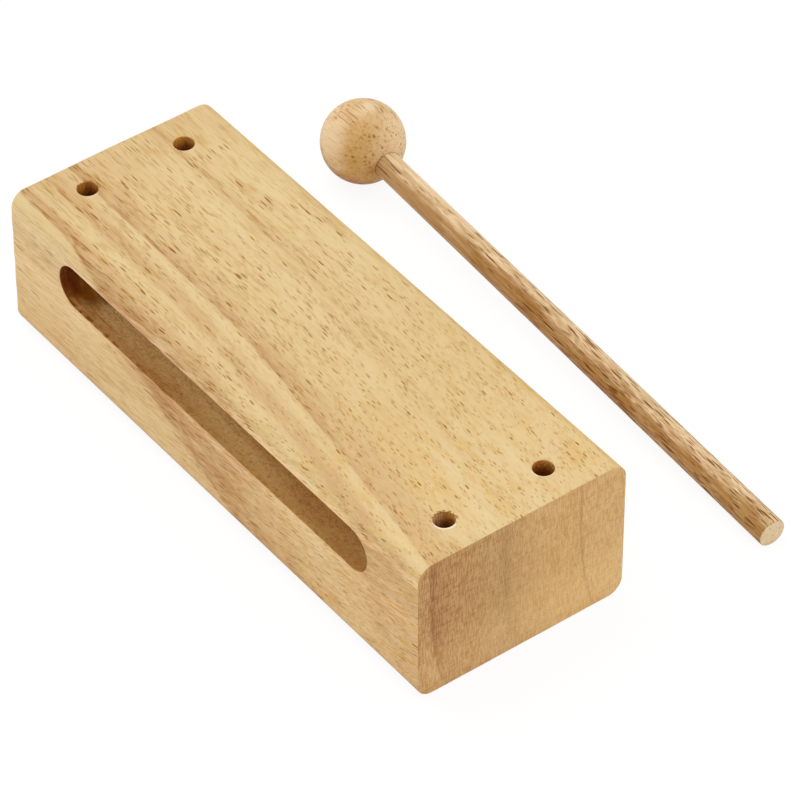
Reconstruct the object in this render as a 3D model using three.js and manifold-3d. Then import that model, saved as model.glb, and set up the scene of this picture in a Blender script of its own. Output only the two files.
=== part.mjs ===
// A rectangular wood block with a routed sound chamber, and the ball beater that lies beside it.
// Lengths are in millimetres. +X runs along the block, the chamber opens towards -Y and +Z is up.
// The origin is the centre of the face that the block rests on.
import * as THREE from 'three';
import { mergeVertices } from 'three/addons/utils/BufferGeometryUtils.js';
import Module from 'manifold-3d';

const wasm = await Module();
wasm.setup();

// Block: a solid bar with rounded long edges and end faces that are only sanded round their rims
const blockLength = 190.5;
const blockWidth = 70;
const blockHeight = 48;
const longEdgeRadius = 5;
const endRimSoftening = 0.6;

// Sound chamber: a slot with half-round ends, routed in from one long side.
// It leaves a thin roof to strike, a back wall and a solid length of wood at each end.
const solidEndLength = 23.25;
const slotHeight = 14.5;
const slotRoof = 6.8;
const slotBackWall = 16;
const slotShift = 0.7;
const slotMouthSoftening = 0.4;

// Holes drilled down through the middle of the solid ends, in a rectangle set slightly askew
const holeDiameter = 6.2;
const holeSpacingAcross = 33.2;
const holePatternDrift = -0.2;
const holePatternTurn = THREE.MathUtils.degToRad(-0.45);
const holeRimSoftening = 0.3;

// Beater: a turned ball on a dowel that thins slightly towards the ball
const ballDiameter = 25.6;
const boreDepth = 13;
const boreMouthSoftening = 0.4;
const stickReach = 194;
const stickHandDiameter = 8.7;
const stickHeadDiameter = 8.2;
const stickEndChamfer = 0.6;
const stickClearance = 0.3;

// Where the beater lies: behind the block, with its ball near one end of the block
const beaterStandOff = 35.4;
const ballSetBack = 8.25;
const beaterTurn = THREE.MathUtils.degToRad(-1.33);

// How finely round shapes are divided, and how far a cutter runs past what it cuts
const edgeSteps = 8;
const slotEndSteps = 16;
const holeSides = 32;
const stickSides = 40;
const ballSides = 56;
const ballArcSteps = 26;
const overrun = 2;

const blockWood = { color: '#dfc08a', roughness: 0.6, metalness: 0 };
const ballWood = { color: '#d9b785', roughness: 0.5, metalness: 0 };
const stickWood = { color: '#c79e6a', roughness: 0.55, metalness: 0 };

// Triangles that touch the axis of a turned shape can shrink to a line, and those are left out
function solidOf(geometry) {
  const plain = geometry.clone();
  plain.deleteAttribute('normal');
  plain.deleteAttribute('uv');
  const merged = mergeVertices(plain);
  const corners = merged.index.array;
  const triangles = [];
  for (let start = 0; start < corners.length; start += 3) {
    const [a, b, c] = corners.slice(start, start + 3);
    if (a !== b && b !== c && c !== a) {
      triangles.push(a, b, c);
    }
  }
  const mesh = new wasm.Mesh({
    numProp: 3,
    vertProperties: new Float32Array(merged.attributes.position.array),
    triVerts: new Uint32Array(triangles),
  });
  return new wasm.Manifold(mesh);
}

function geometryOf(solid) {
  const mesh = solid.getMesh();
  const geometry = new THREE.BufferGeometry();
  geometry.setAttribute('position', new THREE.BufferAttribute(mesh.vertProperties, 3));
  geometry.setIndex(new THREE.BufferAttribute(mesh.triVerts, 1));
  return geometry;
}

function meshNamed(name, solid, finish) {
  const mesh = new THREE.Mesh(geometryOf(solid), new THREE.MeshStandardMaterial(finish));
  mesh.name = name;
  return mesh;
}

// A rectangle with rounded corners, centred on the origin
function roundedRectangle(width, height, radius) {
  const right = width / 2 - radius;
  const top = height / 2 - radius;
  const outline = new THREE.Shape();
  outline.absarc(right, top, radius, 0, Math.PI / 2);
  outline.absarc(-right, top, radius, Math.PI / 2, Math.PI);
  outline.absarc(-right, -top, radius, Math.PI, Math.PI * 1.5);
  outline.absarc(right, -top, radius, Math.PI * 1.5, Math.PI * 2);
  outline.closePath();
  return outline;
}

// A slot with half-round ends, centred on the origin
function slotOutline(length, height) {
  const radius = height / 2;
  const endCentre = length / 2 - radius;
  const outline = new THREE.Shape();
  outline.absarc(endCentre, 0, radius, -Math.PI / 2, Math.PI / 2);
  outline.absarc(-endCentre, 0, radius, Math.PI / 2, Math.PI * 1.5);
  outline.closePath();
  return outline;
}

// The block's section across its length, drawn out along X, with its two end rims eased
function blockBar() {
  const section = roundedRectangle(blockWidth, blockHeight, longEdgeRadius);
  const geometry = new THREE.ExtrudeGeometry(section, {
    depth: blockLength - 2 * endRimSoftening,
    curveSegments: edgeSteps,
    bevelEnabled: true,
    bevelThickness: endRimSoftening,
    bevelSize: endRimSoftening,
    bevelOffset: -endRimSoftening,
    bevelSegments: 2,
  });
  geometry.translate(0, 0, endRimSoftening - blockLength / 2);
  geometry.rotateX(Math.PI / 2);
  geometry.rotateZ(Math.PI / 2);
  geometry.translate(0, 0, blockHeight / 2);
  return solidOf(geometry);
}

// The chamber, from outside the block's side to the chamber's flat back, and the flare of its mouth
function slotCutters() {
  const outline = slotOutline(blockLength - 2 * solidEndLength, slotHeight);
  const slotDepth = blockWidth - slotBackWall;
  const chamber = new THREE.ExtrudeGeometry(outline, {
    depth: slotDepth + overrun,
    curveSegments: slotEndSteps,
    bevelEnabled: false,
  });
  chamber.translate(0, 0, -slotDepth);
  const mouth = new THREE.ExtrudeGeometry(outline, {
    depth: overrun,
    curveSegments: slotEndSteps,
    bevelEnabled: true,
    bevelThickness: slotMouthSoftening,
    bevelSize: slotMouthSoftening,
    bevelSegments: 1,
  });
  const middleHeight = blockHeight - slotRoof - slotHeight / 2;
  return [chamber, mouth].map((cutter) => {
    cutter.rotateX(Math.PI / 2);
    cutter.translate(slotShift, -blockWidth / 2, middleHeight);
    return solidOf(cutter);
  });
}

// A drill through the block's height, wider where it eases the hole's rim at the two faces
function drillGeometry() {
  const radius = holeDiameter / 2;
  const rim = radius + holeRimSoftening;
  const profile = [
    new THREE.Vector2(0, -overrun),
    new THREE.Vector2(rim, -overrun),
    new THREE.Vector2(rim, 0),
    new THREE.Vector2(radius, holeRimSoftening),
    new THREE.Vector2(radius, blockHeight - holeRimSoftening),
    new THREE.Vector2(rim, blockHeight),
    new THREE.Vector2(rim, blockHeight + overrun),
    new THREE.Vector2(0, blockHeight + overrun),
  ];
  const geometry = new THREE.LatheGeometry(profile, holeSides);
  geometry.rotateX(Math.PI / 2);
  return geometry;
}

function drillCutters() {
  const alongHalf = (blockLength - solidEndLength) / 2;
  const acrossHalf = holeSpacingAcross / 2;
  const patternCentre = new THREE.Vector2();
  const cutters = [];
  for (const end of [-1, 1]) {
    for (const side of [-1, 1]) {
      const place = new THREE.Vector2(end * alongHalf, side * acrossHalf);
      place.rotateAround(patternCentre, holePatternTurn);
      const drill = drillGeometry();
      drill.translate(place.x, place.y + holePatternDrift, 0);
      cutters.push(solidOf(drill));
    }
  }
  return cutters;
}

function blockBody() {
  let solid = blockBar();
  for (const cutter of [...slotCutters(), ...drillCutters()]) {
    solid = solid.subtract(cutter);
  }
  return meshNamed('block_body', solid, blockWood);
}

const ballRadius = ballDiameter / 2;
const boreBottomReach = ballRadius - boreDepth;

// The ball is turned about the stick's axis: its profile goes round the ball, then into the bore
function beaterHead() {
  const boreRadius = stickHeadDiameter / 2 + stickClearance;
  const mouthRadius = boreRadius + boreMouthSoftening;
  const mouthReach = Math.sqrt(ballRadius ** 2 - mouthRadius ** 2);
  const mouthAngle = Math.asin(mouthRadius / ballRadius);
  const profile = [new THREE.Vector2(0, -ballRadius)];
  for (let step = ballArcSteps - 1; step >= 0; step -= 1) {
    const angle = mouthAngle + (Math.PI - mouthAngle) * step / ballArcSteps;
    profile.push(new THREE.Vector2(Math.sin(angle), Math.cos(angle)).multiplyScalar(ballRadius));
  }
  profile.push(
    new THREE.Vector2(boreRadius, mouthReach - boreMouthSoftening),
    new THREE.Vector2(boreRadius, boreBottomReach),
    new THREE.Vector2(0, boreBottomReach),
  );
  return meshNamed('beater_head', solidOf(new THREE.LatheGeometry(profile, ballSides)), ballWood);
}

// The dowel is turned about the same axis, from its seat in the bore to its chamfered free end
function beaterStick() {
  const seatReach = boreBottomReach + stickClearance;
  const headRadius = stickHeadDiameter / 2;
  const handRadius = stickHandDiameter / 2;
  const profile = [
    new THREE.Vector2(0, seatReach),
    new THREE.Vector2(headRadius - stickEndChamfer, seatReach),
    new THREE.Vector2(headRadius, seatReach + stickEndChamfer),
    new THREE.Vector2(headRadius, ballRadius),
    new THREE.Vector2(handRadius, stickReach - stickEndChamfer),
    new THREE.Vector2(handRadius - stickEndChamfer, stickReach),
    new THREE.Vector2(0, stickReach),
  ];
  return meshNamed('beater_stick', solidOf(new THREE.LatheGeometry(profile, stickSides)), stickWood);
}

// The ball and the free end of the dowel both touch the surface, so the beater's axis droops
function beater() {
  const group = new THREE.Group();
  const droop = Math.asin((ballRadius - stickHandDiameter / 2) / stickReach);
  const axis = new THREE.Vector3(
    Math.cos(beaterTurn) * Math.cos(droop),
    Math.sin(beaterTurn) * Math.cos(droop),
    -Math.sin(droop),
  );
  group.quaternion.setFromUnitVectors(new THREE.Vector3(0, 1, 0), axis);
  group.position.set(
    ballSetBack - blockLength / 2,
    blockWidth / 2 + beaterStandOff + ballRadius,
    ballRadius,
  );
  group.add(beaterHead(), beaterStick());
  return group;
}

const woodBlock = new THREE.Group();
woodBlock.add(blockBody(), beater());

export default woodBlock;
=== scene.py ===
"""A wooden percussion block with a routed sound slot, and the ball beater that lies behind it."""

import math

import bmesh
import bpy
import numpy as np
from mathutils import Matrix, Vector


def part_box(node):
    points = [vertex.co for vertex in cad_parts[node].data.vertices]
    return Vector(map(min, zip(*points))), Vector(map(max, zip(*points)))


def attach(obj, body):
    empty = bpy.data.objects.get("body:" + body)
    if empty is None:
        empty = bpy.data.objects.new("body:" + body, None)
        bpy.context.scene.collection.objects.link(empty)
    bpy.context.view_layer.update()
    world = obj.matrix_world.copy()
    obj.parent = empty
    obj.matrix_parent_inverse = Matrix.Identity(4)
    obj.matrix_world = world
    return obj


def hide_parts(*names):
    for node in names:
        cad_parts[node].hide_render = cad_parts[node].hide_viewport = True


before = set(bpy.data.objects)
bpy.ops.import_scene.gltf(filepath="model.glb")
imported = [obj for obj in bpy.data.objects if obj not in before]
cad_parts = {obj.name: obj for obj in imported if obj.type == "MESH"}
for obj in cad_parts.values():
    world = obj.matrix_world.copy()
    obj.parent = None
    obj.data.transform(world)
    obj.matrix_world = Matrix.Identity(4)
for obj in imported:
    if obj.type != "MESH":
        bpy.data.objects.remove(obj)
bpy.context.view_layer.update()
mm = 0.001
scene = bpy.context.scene

# The camera.
# It looks down on the near end of the block from a long way off, through a long lens,
# so that the far end looks only a little smaller than the near one.
camera_azimuth = math.radians(52.905)
camera_elevation = math.radians(42.814)
camera_distance = 1536.2 * mm
camera_target = Vector((15.295, 19.503, 20)) * mm
camera_lens = 248.73

camera = bpy.data.objects.new("camera", bpy.data.cameras.new("camera"))
scene.collection.objects.link(camera)
towards_camera = Vector((
    math.sin(camera_azimuth) * math.cos(camera_elevation),
    -math.cos(camera_azimuth) * math.cos(camera_elevation),
    math.sin(camera_elevation),
))
camera.location = camera_target + towards_camera * camera_distance
camera.rotation_euler = towards_camera.to_track_quat("Z", "Y").to_euler()
camera.data.lens = camera_lens
scene.camera = camera

# The block's mesh.
# The real one is a single bar of rubberwood, planed square, its long edges run over with a
# round cutter and its ends sawn and sanded. The sound slot is routed in from the side.
block_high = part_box("block_body")[1]
half_length = block_high.x
half_width = block_high.y
block_height = block_high.z
long_edge_radius = 5 * mm
far_rim = 1.4 * mm
near_rim = 0.35 * mm
rim_wear = 0.3
wear_waves = np.array([60, 23, 11]) * mm
panel_spacing = 2 * mm
guard_row = 0.3 * mm
edge_steps = 10
rim_steps = 4
flat_rows = 5
cap_rows = 8
cap_crowding = 0.8
sharp_angle = math.radians(40)
weld_gap = 0.001 * mm

slot_half_line = 64.75 * mm
slot_radius = 7.25 * mm
slot_centre = np.array([0.7, 33.95]) * mm
slot_depth = 54 * mm
slot_rim = 0.25 * mm
slot_margin = np.array([3, 1.5]) * mm

hole_radius = 3.1 * mm
hole_rim = 0.3 * mm
hole_reach = np.array([83.625, 16.6]) * mm
hole_drift = -0.2 * mm
hole_turn = math.radians(-0.45)
hole_cell = 5.5 * mm


def stations(stops, spacing):
    """Places along a line: each stop is kept, and each stretch between two stops is divided evenly,
    into steps as near to the spacing as fit."""
    stretches = []
    for start, end in zip(stops, stops[1:]):
        count = max(1, round((end - start) / spacing))
        stretches.append(np.linspace(start, end, count + 1)[:-1])
    return np.append(np.concatenate(stretches), stops[-1])


def uneven(places, size, waves, seed):
    """A small smooth unevenness, one value a place: the size times the mean of a few sine waves
    with seeded directions and phases."""
    random = np.random.default_rng(seed)
    total = 0.0
    for wave in waves:
        direction = random.normal(size=3)
        direction *= 2 * math.pi / wave / np.linalg.norm(direction)
        total += np.sin(places @ direction + random.uniform(0, 2 * math.pi))
    return size * total / len(waves)


class Quilt:
    """Grids of points sewn into one closed mesh, with a value at each that says how raw the cut is."""

    def __init__(self):
        self.points = []
        self.raw = []
        self.faces = []
        self.count = 0

    def add(self, grid, raw=0.0, keep=None, wrap=False):
        """Adds a grid of rows and columns as quads. keep drops quads, and wrap closes each row on itself."""
        rows, columns = grid.shape[:2]
        index = np.arange(rows * columns).reshape(rows, columns) + self.count
        if wrap:
            index = np.concatenate([index, index[:, :1]], axis=1)
        quads = np.stack([index[:-1, :-1], index[1:, :-1], index[1:, 1:], index[:-1, 1:]], axis=-1)
        if keep is not None:
            quads = quads[keep]
        self.points.append(grid.reshape(-1, 3))
        self.raw.append(np.broadcast_to(raw, (rows, columns)).reshape(-1))
        self.faces.append(quads.reshape(-1, 4))
        self.count += rows * columns

    def sew(self, name, crease):
        """Merges the grids where their edges meet, turns the faces outwards and creases the sharp edges."""
        mesh = bpy.data.meshes.new(name)
        mesh.from_pydata(np.concatenate(self.points), [], np.concatenate(self.faces))
        mesh.attributes.new("raw_cut", "FLOAT", "POINT").data.foreach_set("value", np.concatenate(self.raw))
        sewn = bmesh.new()
        sewn.from_mesh(mesh)
        bmesh.ops.remove_doubles(sewn, verts=sewn.verts, dist=weld_gap)
        loose = [v for v in sewn.verts if not v.link_faces]
        bmesh.ops.delete(sewn, geom=loose, context="VERTS")
        bmesh.ops.recalc_face_normals(sewn, faces=sewn.faces)
        sewn.to_mesh(mesh)
        sewn.free()
        mesh.shade_smooth()
        mesh.set_sharp_from_angle(angle=crease)
        piece = bpy.data.objects.new(name, mesh)
        scene.collection.objects.link(piece)
        return piece


def bar_section(across, up, radius):
    """Once round the block's section: four flats joined by quarter circles, each point as (y, z)
    and the outward normal."""
    sides = []
    arc = np.linspace(0, math.pi / 2, edge_steps + 1)[1:-1]
    for quarter, places in enumerate([across, up, across[::-1], up[::-1]]):
        turn = (quarter - 1) * math.pi / 2
        normal = np.array([math.cos(turn), math.sin(turn)])
        flat = np.zeros((len(places), 2))
        flat[:, quarter % 2] = places
        if quarter % 2 == 0:
            flat[:, 1] = block_height / 2 * (1 + normal[1])
        else:
            flat[:, 0] = half_width * normal[0]
        sides.append(np.hstack([flat, np.broadcast_to(normal, flat.shape)]))
        swing = turn + arc
        swept = np.stack([np.cos(swing), np.sin(swing)], axis=1)
        middle = flat[-1] - normal * radius
        sides.append(np.hstack([middle + swept * radius, swept]))
    return np.concatenate(sides)


def towards_line(places, centre, half_line):
    """For points round a slot: the nearest point of its centre line, and the direction from there
    to each point."""
    middle = centre + np.stack([np.clip(places[:, 0] - centre[0], -half_line, half_line),
                                np.zeros(len(places))], axis=1)
    outward = places - middle
    return middle, outward / np.linalg.norm(outward, axis=1, keepdims=True)


def bored(places, centre, half_line, radius, rim, depth, through):
    """The walls of a slot or hole below a flat face: rows of (along, across, depth), and how raw
    each row is cut.

    Each row is the outline at some radius about the centre line, drawn towards the cell's edge by
    a share: first the flat ring round the mouth, then the mouth's rounding, then the wall. Last
    comes the other mouth of a hole that goes through, or else the flat bottom.
    """
    middle, outward = towards_line(places, centre, half_line)
    ring = [(share ** 2, rim, 0.0, 0.0) for share in np.linspace(1, 0, flat_rows + 1)[:-1]]
    bend = np.linspace(0, math.pi / 2, rim_steps + 1)
    mouth = [(0.0, rim * (1 - math.sin(a)), rim * (1 - math.cos(a)), 1 - math.cos(a)) for a in bend]
    wall = stations((rim, depth - rim if through else depth), panel_spacing)[1:]
    rows = ring + mouth + [(0.0, 0.0, down, 1.0) for down in wall]
    if through:
        rows += [(share, offset, depth - down, raw) for share, offset, down, raw in (ring + mouth)[-2::-1]]
    else:
        rows += [(0.0, -radius * share, depth, 1.0) for share in np.linspace(0, 1, flat_rows + 1)[1:]]
    rows = np.array(rows)
    share, offset, down, raw = (rows[:, k, None] for k in range(4))
    outline = middle + outward * (radius + offset[..., None])
    flat = outline + (places - outline) * share[..., None]
    return np.concatenate([flat, np.broadcast_to(down, flat.shape[:2])[..., None]], axis=2), raw


def cell_edge(first, second):
    """Once round a rectangular cell of a grid, from the grid's places along its two sides."""
    low, high = np.full(len(second), first[0]), np.full(len(second), first[-1])
    near, far = np.full(len(first), second[0]), np.full(len(first), second[-1])
    sides = [(first, near), (high, second), (first[::-1], far), (low, second[::-1])]
    return np.concatenate([np.stack(side, axis=1)[:-1] for side in sides])


# The holes stand at the corners of a rectangle that is turned a little and drifts to one side
corners = np.array([(-1, -1), (-1, 1), (1, -1), (1, 1)])
turned = np.array([
    [math.cos(hole_turn), math.sin(hole_turn)], [-math.sin(hole_turn), math.cos(hole_turn)]])
hole_places = (corners * hole_reach) @ turned + (0, hole_drift)

flat_side = half_width - long_edge_radius
slot_low = slot_centre - np.array([slot_half_line + slot_radius, slot_radius]) - slot_margin
slot_high = slot_centre + np.array([slot_half_line + slot_radius, slot_radius]) + slot_margin
hole_stops = [hole_reach[0] - hole_cell, hole_reach[0] + hole_cell]
along = stations(
    [far_rim - half_length, -hole_stops[1], -hole_stops[0], slot_low[0], slot_high[0], *hole_stops,
     half_length - near_rim], panel_spacing)
across = stations(
    [-flat_side, -flat_side + guard_row, -hole_reach[1] - hole_cell, -hole_reach[1] + hole_cell,
     hole_reach[1] - hole_cell, hole_reach[1] + hole_cell, flat_side - guard_row, flat_side], panel_spacing)
up = stations(
    [long_edge_radius, long_edge_radius + guard_row, slot_low[1], slot_high[1],
     block_height - long_edge_radius], panel_spacing)

section = bar_section(across, up, long_edge_radius)
section_middle = np.stack([
    np.clip(section[:, 0], block_height / 2 - half_width, half_width - block_height / 2),
    np.full(len(section), block_height / 2),
], axis=1)


def rim_rows(radius, outward, seed):
    """Rows over one end's rim and face: the place along X, the inset along the section's normal,
    and the share drawn in to the middle of the face.

    The rims are eased by hand, so their radius wanders a little on the way round.
    """
    bend = np.linspace(0, math.pi / 2, rim_steps + 1)[1:, None]
    round_rim = np.hstack([section[:, :2], np.zeros((len(section), 1))])
    wear = uneven(round_rim, rim_wear, wear_waves, seed)
    worn = radius * (1 - rim_wear + wear)
    rim_x = half_length - worn * (1 - np.sin(bend))
    rim_inset = worn * (1 - np.cos(bend))
    share = np.linspace(0, 1, cap_rows + 1)[1:, None] ** cap_crowding
    cap_x = np.full((len(share), len(section)), half_length)
    cap_inset = np.broadcast_to(worn, cap_x.shape)
    x = np.concatenate([rim_x, cap_x]) * outward
    inset = np.concatenate([rim_inset, cap_inset])
    share = np.concatenate([np.zeros((rim_steps, 1)), share]) * np.ones(len(section))
    return [rows[::outward] for rows in (x, inset, share)]


# Rows of the bar: its far end, the length between and its near end
far_rows = rim_rows(far_rim, -1, seed=3)
near_rows = rim_rows(near_rim, 1, seed=4)
length_x = np.repeat(along[:, None], len(section), axis=1)
length_rows = [length_x, np.zeros_like(length_x), np.zeros_like(length_x)]
row_x, row_inset, row_share = (np.concatenate(rows) for rows in zip(far_rows, length_rows, near_rows))
inset = section[None, :, :2] - section[None, :, 2:] * row_inset[..., None]
drawn = inset + (section_middle - inset) * row_share[..., None]
bar = np.concatenate([row_x[..., None], drawn], axis=2)

# Quads of the bar that the slot's and the holes' cells take the place of
middle_x = (row_x[:-1, 0] + row_x[1:, 0]) / 2
ring = np.concatenate([section[:, :2], section[:1, :2]])
middle_y, middle_z = ((ring[:-1] + ring[1:]) / 2).T
on_flat = (middle_z < guard_row) | (middle_z > block_height - guard_row)
keep = np.ones((len(middle_x), len(middle_y)), bool)
for corner_x, corner_y in corners * hole_reach:
    in_x = np.abs(middle_x - corner_x) < hole_cell
    in_y = (np.abs(middle_y - corner_y) < hole_cell) & on_flat
    keep &= ~(in_x[:, None] & in_y[None, :])
in_x = (middle_x > slot_low[0]) & (middle_x < slot_high[0])
in_z = (middle_z > slot_low[1]) & (middle_z < slot_high[1]) & (middle_y < guard_row - half_width)
keep &= ~(in_x[:, None] & in_z[None, :])

block_quilt = Quilt()
block_quilt.add(bar, keep=keep, wrap=True)

in_slot_x = (along > slot_low[0] - guard_row) & (along < slot_high[0] + guard_row)
in_slot_z = (up > slot_low[1] - guard_row / 2) & (up < slot_high[1] + guard_row / 2)
slot_cell = cell_edge(along[in_slot_x], up[in_slot_z])
slot_walls, slot_raw = bored(
    slot_cell, slot_centre, slot_half_line, slot_radius, slot_rim, slot_depth, False)
slot_grid = np.stack([slot_walls[..., 0], slot_walls[..., 2] - half_width, slot_walls[..., 1]], axis=-1)
block_quilt.add(slot_grid, raw=slot_raw, wrap=True)

for place, (corner_x, corner_y) in zip(hole_places, corners * hole_reach):
    in_hole_x = np.abs(along - corner_x) < hole_cell + guard_row / 2
    in_hole_y = np.abs(across - corner_y) < hole_cell + guard_row / 2
    walls, raw = bored(
        cell_edge(along[in_hole_x], across[in_hole_y]), place, 0.0, hole_radius, hole_rim,
        block_height, True)
    block_quilt.add(
        np.stack([walls[..., 0], walls[..., 1], block_height - walls[..., 2]], axis=-1), raw=raw, wrap=True)

block = block_quilt.sew("wood_block_bar", sharp_angle)
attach(block, "block")
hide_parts("block_body")

# The block's wood.
# It is rubberwood, sanded and sealed. Lengths in the node trees are in millimetres, and the
# pattern is worked out in the wood's own directions: along, across and through the grain.
white = (1, 1, 1, 1)
pale_wood = (0.85, 0.65, 0.335, 1)
cream_wood = (0.81, 0.59, 0.285, 1)
golden_wood = (0.8, 0.54, 0.215, 1)
rosy_wood = (0.7, 0.45, 0.205, 1)
dark_rosy_wood = (0.58, 0.325, 0.135, 1)
fibre_tint = (0.74, 0.6, 0.37, 1)
stain_tint = (0.82, 0.68, 0.44, 1)
pore_tint = (0.47, 0.27, 0.05, 1)
side_tints = [
    (2.0, (1.02, 0.95, 0.92, 1)), (9.0, (1.07, 1.03, 1.04, 1)), (17.0, (1.08, 1.05, 1.07, 1)),
    (21.0, (1.1, 1.07, 1.11, 1)), (26.0, (1.19, 1.16, 1.24, 1)), (31.0, (1.07, 1.03, 1.05, 1)),
    (41.0, (1.05, 1.03, 1.07, 1)), (44.5, white)]
near_top_tint = (1.05, 1.06, 1.09, 1)
# Painted shade on two long edges, and a painted highlight on the side above the slot
back_edge_shade_tint = (0.96, 0.905, 0.72, 1)
low_edge_shade_tint = (0.62, 0.5, 0.37, 1)
slot_highlight_tint = (1.21, 1.23, 1.34, 1)
tooth_tint = (0.68, 0.53, 0.35, 1)
low_end_wood = (0.92, 0.63, 0.31, 1)
low_end_tint = (1.2, 1.25, 1.25, 1)
end_tints = [
    (-20.0, (0.88, 0.72, 0.67, 1)), (-5.0, (0.86, 0.7, 0.64, 1)), (7.5, (0.87, 0.74, 0.68, 1)),
    (10.0, (0.79, 0.65, 0.57, 1)), (13.0, (0.93, 0.81, 0.74, 1)), (24.0, (1.03, 0.89, 0.78, 1)),
    (35.1, (1.06, 0.93, 0.81, 1)), (35.8, (0.85, 0.7, 0.57, 1)), (36.7, (1.07, 0.95, 0.88, 1)),
    (48.0, (1.09, 0.98, 0.93, 1))]
# Bare wood in the slot: lighter deep in, painted light, and darker at the mouth, painted shade
bare_wood_and_light_tint = (1.11, 1.05, 0.89, 1)
mouth_shade_tint = (0.78, 0.665, 0.485, 1)
raw_speck_tint = (0.7, 0.58, 0.43, 1)
slot_tints = [
    (-58.0, (1.09, 1.12, 1.16, 1)), (-42.0, white),
    (15.0, white), (38.0, (0.92, 0.85, 0.75, 1))]
# Darker browns for the slot's far end, its end grain's own colour with painted shade, and for singed spots
# on the lip
scorch_and_shade_tint = (0.45, 0.215, 0.015, 1)
far_end_dark_tint = (0.68, 0.52, 0.3, 1)
drilled_tint = (0.86, 0.61, 0.27, 1)
# Painted shade deep in the holes, also used for specks by their rims, and painted light on one side of their
# walls
deep_shade_and_speck_tint = (0.4, 0.185, 0.035, 1)
near_lit_tint = (1.3, 1.4, 1.5, 1)
far_lit_tint = (1.18, 0.97, 0.4, 1)
# A painted highlight for the holes' near rims
rim_highlight_wood = (0.98, 0.86, 0.62, 1)
per_metre = (1 / mm,) * 3
relief_depth = 0.1 * mm


def feed(tree, made, feeds):
    """Links or sets a node's inputs, by name or number."""
    for name, value in feeds.items():
        if isinstance(value, bpy.types.NodeSocket):
            tree.links.new(value, made.inputs[name])
        else:
            made.inputs[name].default_value = value


def node(tree, kind, feeds=None, **settings):
    """Adds a shader node: settings are its own properties, and feeds go to its inputs."""
    made = tree.nodes.new("ShaderNode" + kind)
    for name, value in settings.items():
        setattr(made, name, value)
    feed(tree, made, feeds or {})
    return made


def calc(tree, operation, *feeds):
    """One step of arithmetic."""
    return node(tree, "Math", dict(enumerate(feeds)), operation=operation).outputs[0]


def product(tree, value, *others):
    """Values multiplied together."""
    for other in others:
        value = calc(tree, "MULTIPLY", value, other)
    return value


def vector_calc(tree, operation, *feeds):
    """One step of vector arithmetic, whose outputs are a Vector and a Value."""
    return node(tree, "VectorMath", dict(enumerate(feeds)), operation=operation).outputs


def fade(tree, value, low, high, start=0.0, end=1.0):
    """A smooth change from start to end as the value goes from low to high."""
    feeds = {"Value": value, "From Min": low, "From Max": high, "To Min": start, "To Max": end}
    return node(tree, "MapRange", feeds, interpolation_type="SMOOTHSTEP").outputs[0]


def blend(tree, share, first, second, how="MIX"):
    """A mix of two colours: the first where the share is 0, and the second where it is 1."""
    feeds = {0: share, 6: first, 7: second}
    return node(tree, "Mix", feeds, data_type="RGBA", blend_type=how).outputs[2]


def tinted(tree, share, colour, tint):
    """A colour, multiplied by a tint where the share is 1."""
    return blend(tree, share, colour, tint, "MULTIPLY")


def ramp(tree, value, stops):
    """Colours along a line: each stop is a value and the colour there."""
    low, high = stops[0][0], stops[-1][0]
    share = calc(tree, "MULTIPLY_ADD", value, 1 / (high - low), -low / (high - low))
    made = node(tree, "ValToRGB", {0: share})
    elements = made.color_ramp.elements
    for index, (place, colour) in enumerate(stops):
        position = (place - low) / (high - low)
        stop = elements[index] if index < 2 else elements.new(position)
        stop.position = position
        stop.color = colour
    return made.outputs[0]


def grain_noise(tree, place, lengths, detail=2.0, roughness=0.5):
    """Soft noise from 0 to 1, in patches of these lengths along, across and through the grain."""
    scaled = node(tree, "Mapping", {"Vector": place, "Scale": [1 / length for length in lengths]})
    feeds = {"Vector": scaled.outputs[0], "Scale": 1.0, "Detail": detail, "Roughness": roughness}
    return node(tree, "TexNoise", feeds).outputs["Fac"]


def shared_effect(name, inputs, outputs):
    """A node group for an effect that several woods use, with its inputs and its output node.

    Each input is a name and a kind of socket, and each output is the name of a plain value.
    """
    group = bpy.data.node_groups.new(name, "ShaderNodeTree")
    for label, kind in inputs.items():
        group.interface.new_socket(name=label, in_out="INPUT", socket_type="NodeSocket" + kind)
    for label in outputs:
        group.interface.new_socket(name=label, in_out="OUTPUT", socket_type="NodeSocketFloat")
    return group, group.nodes.new("NodeGroupInput").outputs, group.nodes.new("NodeGroupOutput")


def placed(tree, group, feeds):
    """A shared effect placed in a wood with its own values."""
    return node(tree, "Group", feeds, node_tree=group).outputs


# Open pores: the wood's vessels, cut lengthways into short dashes or across into dots.
# Each cell of a drawn-out cell pattern holds one vessel, of its own size, or none.
open_pores, given, wanted = shared_effect("open_pores", {
    "Place": "Vector", "Length": "Float", "Spacing": "Float", "Size": "Float", "Share": "Float"}, ["Pore"])
cell_size = node(open_pores, "CombineXYZ", {
    0: given["Length"], 1: given["Spacing"], 2: given["Spacing"]}).outputs[0]
cell_place = vector_calc(open_pores, "DIVIDE", given["Place"], cell_size)["Vector"]
cell = node(open_pores, "TexVoronoi", {"Vector": cell_place, "Scale": 1.0}).outputs
cell_chance = node(open_pores, "SeparateColor", {0: cell["Color"]}).outputs
holds_one = calc(open_pores, "LESS_THAN", cell_chance[0], given["Share"])
own_size = calc(open_pores, "MULTIPLY_ADD", cell_chance[1], 0.55, 0.45)
own_strength = calc(open_pores, "MULTIPLY_ADD", cell_chance[2], 0.65, 0.35)
vessel_radius = product(open_pores, own_size, given["Size"], holds_one)
inside = calc(open_pores, "SUBTRACT", vessel_radius, cell["Distance"])
feed(open_pores, wanted, {
    "Pore": product(open_pores, fade(open_pores, inside, -0.07, 0.07), own_strength)})

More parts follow.
